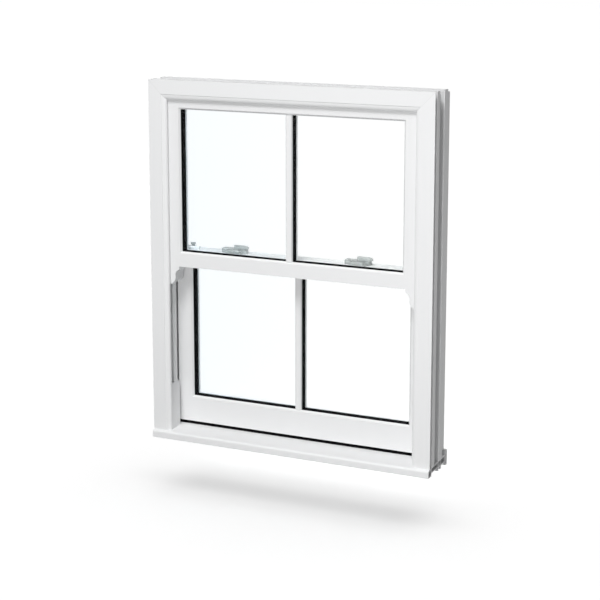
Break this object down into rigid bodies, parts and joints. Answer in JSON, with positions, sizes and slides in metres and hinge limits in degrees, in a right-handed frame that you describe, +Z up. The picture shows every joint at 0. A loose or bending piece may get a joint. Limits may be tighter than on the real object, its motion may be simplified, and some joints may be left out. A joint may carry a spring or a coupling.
{
  "type": "sash window",
  "caption": "White vertical sliding sash window with frame and sill, double-glazed sashes with glazing bars, ogee horns, cam catches, tilt latches and spiral balances.",
  "frame": {"origin": "middle of the sill's underside, on its middle leg", "axes": "+X right as seen from outside, +Y from outside to room, +Z up"},
  "size_m": [0.9, 0.152, 1.092],
  "materials": {
    "white_profile": "satin white uPVC",
    "glass": "clear float glass",
    "black_seal": "matte black rubber",
    "black_spacer": "matte black",
    "grey_pile": "woven pile",
    "tube_plastic": "white plastic tube",
    "steel": "galvanised steel",
    "shoe_plastic": "moulded nylon",
    "silver_metal": "satin silver"
  },
  "bodies": {
    "frame": {"frame_head": "white_profile", "frame_jamb_left": "white_profile", "frame_jamb_right": "white_profile", "frame_sill": "white_profile", "sill_seal": "black_seal", "frame_pile": "grey_pile", "stop_block_left": "white_profile", "stop_block_right": "white_profile", "upper_tube_left": "tube_plastic", "upper_tube_right": "tube_plastic", "lower_tube_left": "tube_plastic", "lower_tube_right": "tube_plastic", "tube_screws": "steel"},
    "upper_sash": {"upper_top_rail": "white_profile", "upper_meeting_rail": "white_profile", "upper_stile_left": "white_profile", "upper_stile_right": "white_profile", "upper_outer_pane": "glass", "upper_inner_pane": "glass", "upper_spacer": "black_spacer", "upper_gasket": "black_seal", "upper_beads": "white_profile", "upper_bar_outside": "white_profile", "upper_bar_inside": "white_profile", "upper_interlock": "white_profile", "upper_shoe_left": "shoe_plastic", "upper_shoe_right": "shoe_plastic", "upper_rod_left": "steel", "upper_rod_right": "steel", "upper_pivots": "steel", "upper_steel": "steel", "keepers": "silver_metal"},
    "lower_sash": {"lower_top_rail": "white_profile", "lower_bottom_rail": "white_profile", "lower_stile_left": "white_profile", "lower_stile_right": "white_profile", "lower_outer_pane": "glass", "lower_inner_pane": "glass", "lower_spacer": "black_spacer", "lower_gasket": "black_seal", "lower_beads": "white_profile", "lower_bar_outside": "white_profile", "lower_bar_inside": "white_profile", "lower_interlock": "white_profile", "lower_shoe_left": "shoe_plastic", "lower_shoe_right": "shoe_plastic", "lower_rod_left": "steel", "lower_rod_right": "steel", "lower_pivots": "steel", "lower_steel": "steel", "catch_base_left": "silver_metal", "catch_base_right": "silver_metal", "latch_cases": "white_profile", "finger_lifts": "silver_metal"},
    "upper_latch_left_body": {"upper_latch_left": "silver_metal"},
    "upper_latch_right_body": {"upper_latch_right": "silver_metal"},
    "lower_latch_left_body": {"lower_latch_left": "silver_metal"},
    "lower_latch_right_body": {"lower_latch_right": "silver_metal"},
    "catch_lever_left_body": {"catch_lever_left": "silver_metal"},
    "catch_lever_right_body": {"catch_lever_right": "silver_metal"}
  },
  "joints": [
    {"name": "upper_slide", "type": "slide", "parent": "frame", "child": "upper_sash", "axis": [0, 0, 1], "range_m": [-0.3, 0]},
    {"name": "lower_slide", "type": "slide", "parent": "frame", "child": "lower_sash", "axis": [0, 0, 1], "range_m": [0, 0.4]},
    {"name": "catch_lever_left_turn", "type": "hinge", "parent": "lower_sash", "child": "catch_lever_left_body", "pos_m": [-0.2, 0.0185, 0.577], "axis": [0, 0, 1], "range_deg": [0, 180]},
    {"name": "catch_lever_right_turn", "type": "hinge", "parent": "lower_sash", "child": "catch_lever_right_body", "pos_m": [0.2, 0.0185, 0.577], "axis": [0, 0, 1], "range_deg": [0, 180]},
    {"name": "upper_latch_left_slide", "type": "slide", "parent": "upper_sash", "child": "upper_latch_left_body", "axis": [1, 0, 0], "range_m": [0, 0.011], "stiffness_N_per_m": 300, "springref_m": -0.004},
    {"name": "upper_latch_right_slide", "type": "slide", "parent": "upper_sash", "child": "upper_latch_right_body", "axis": [-1, 0, 0], "range_m": [0, 0.011], "stiffness_N_per_m": 300, "springref_m": -0.004},
    {"name": "lower_latch_left_slide", "type": "slide", "parent": "lower_sash", "child": "lower_latch_left_body", "axis": [1, 0, 0], "range_m": [0, 0.011], "stiffness_N_per_m": 300, "springref_m": -0.004},
    {"name": "lower_latch_right_slide", "type": "slide", "parent": "lower_sash", "child": "lower_latch_right_body", "axis": [-1, 0, 0], "range_m": [0, 0.011], "stiffness_N_per_m": 300, "springref_m": -0.004}
  ]
}
